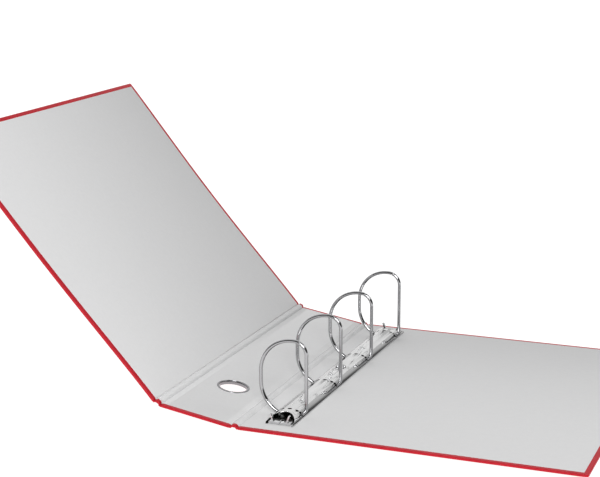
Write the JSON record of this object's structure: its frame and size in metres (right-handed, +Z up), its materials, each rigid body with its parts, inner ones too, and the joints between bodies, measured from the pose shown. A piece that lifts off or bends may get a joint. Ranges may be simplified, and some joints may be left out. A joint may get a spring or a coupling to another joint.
{
  "type": "ring binder",
  "caption": "A4 ring binder lying open: hinged cover with spine, finger hole and label pocket, and D-rings on a rail that open in coupled halves.",
  "frame": {"origin": "centre of the back cover's outer face, which lies on the table", "axes": "+X from the spine to the back cover's fore edge, +Y along the spine to the top edge, +Z up, out of the back cover's inner face"},
  "size_m": [0.5347, 0.318, 0.2239],
  "materials": {
    "cover_foil": "satin",
    "board": "matte",
    "lining": "matte",
    "eyelet_steel": "polished",
    "pocket_film": "gloss",
    "card": "matte",
    "ring_wire": "polished",
    "rail_steel": "satin",
    "blade_steel": "satin",
    "rivet_steel": "satin"
  },
  "bodies": {
    "back_cover": {"back_cover_board": "board", "back_cover_foil": "cover_foil", "back_cover_lining": "lining", "ring_housing": "rail_steel", "rivet_middle": "rivet_steel", "stud_bottom": "rivet_steel", "stud_top": "rivet_steel"},
    "back_strip": {"back_strip_board": "board", "back_strip_foil": "cover_foil", "back_strip_lining": "lining"},
    "spine": {"spine_board": "board", "spine_foil": "cover_foil", "spine_lining": "lining", "finger_hole_barrel": "eyelet_steel", "finger_hole_washer": "eyelet_steel", "label_pocket": "pocket_film"},
    "label": {"label_card": "card"},
    "front_strip": {"front_strip_board": "board", "front_strip_foil": "cover_foil", "front_strip_lining": "lining"},
    "front_cover": {"front_cover_board": "board", "front_cover_foil": "cover_foil", "front_cover_lining": "lining"},
    "rings_left": {"blade_left": "blade_steel", "ring_left_1": "ring_wire", "ring_left_2": "ring_wire", "ring_left_3": "ring_wire", "ring_left_4": "ring_wire"},
    "rings_right": {"blade_right": "blade_steel", "ring_right_1": "ring_wire", "ring_right_2": "ring_wire", "ring_right_3": "ring_wire", "ring_right_4": "ring_wire"}
  },
  "joints": [
    {"name": "back_crease", "type": "hinge", "parent": "back_cover", "child": "back_strip", "pos_m": [-0.13875, 0, 0], "axis": [0, 1, 0], "range_deg": [-4.68, 40.32]},
    {"name": "spine_back_crease", "type": "hinge", "parent": "back_strip", "child": "spine", "pos_m": [-0.14563, 0, 0.00056], "axis": [0, 1, 0], "range_deg": [-4.68, 40.32]},
    {"name": "spine_front_crease", "type": "hinge", "parent": "spine", "child": "front_strip", "pos_m": [-0.2067, 0, 0.01063], "axis": [0, 1, 0], "range_deg": [-19.67, 25.33]},
    {"name": "front_crease", "type": "hinge", "parent": "front_strip", "child": "front_cover", "pos_m": [-0.21274, 0, 0.01398], "axis": [0, 1, 0], "range_deg": [-19.67, 25.33]},
    {"name": "left_rings_open", "type": "hinge", "parent": "back_cover", "child": "rings_left", "pos_m": [-0.11815, 0, 0.00405], "axis": [0, -1, 0], "range_deg": [0, 8.5]},
    {"name": "right_rings_open", "type": "hinge", "parent": "back_cover", "child": "rings_right", "pos_m": [-0.10095, 0, 0.00405], "axis": [0, 1, 0], "range_deg": [0, 8.5]},
    {"name": "label_slide", "type": "slide", "parent": "spine", "child": "label", "axis": [0, 1, 0], "range_m": [0, 0.15]}
  ],
  "couplings": [
    {"joint": "back_crease", "follows": "spine_back_crease", "ratio": 1},
    {"joint": "spine_front_crease", "follows": "front_crease", "ratio": 1},
    {"joint": "right_rings_open", "follows": "left_rings_open", "ratio": 1}
  ]
}
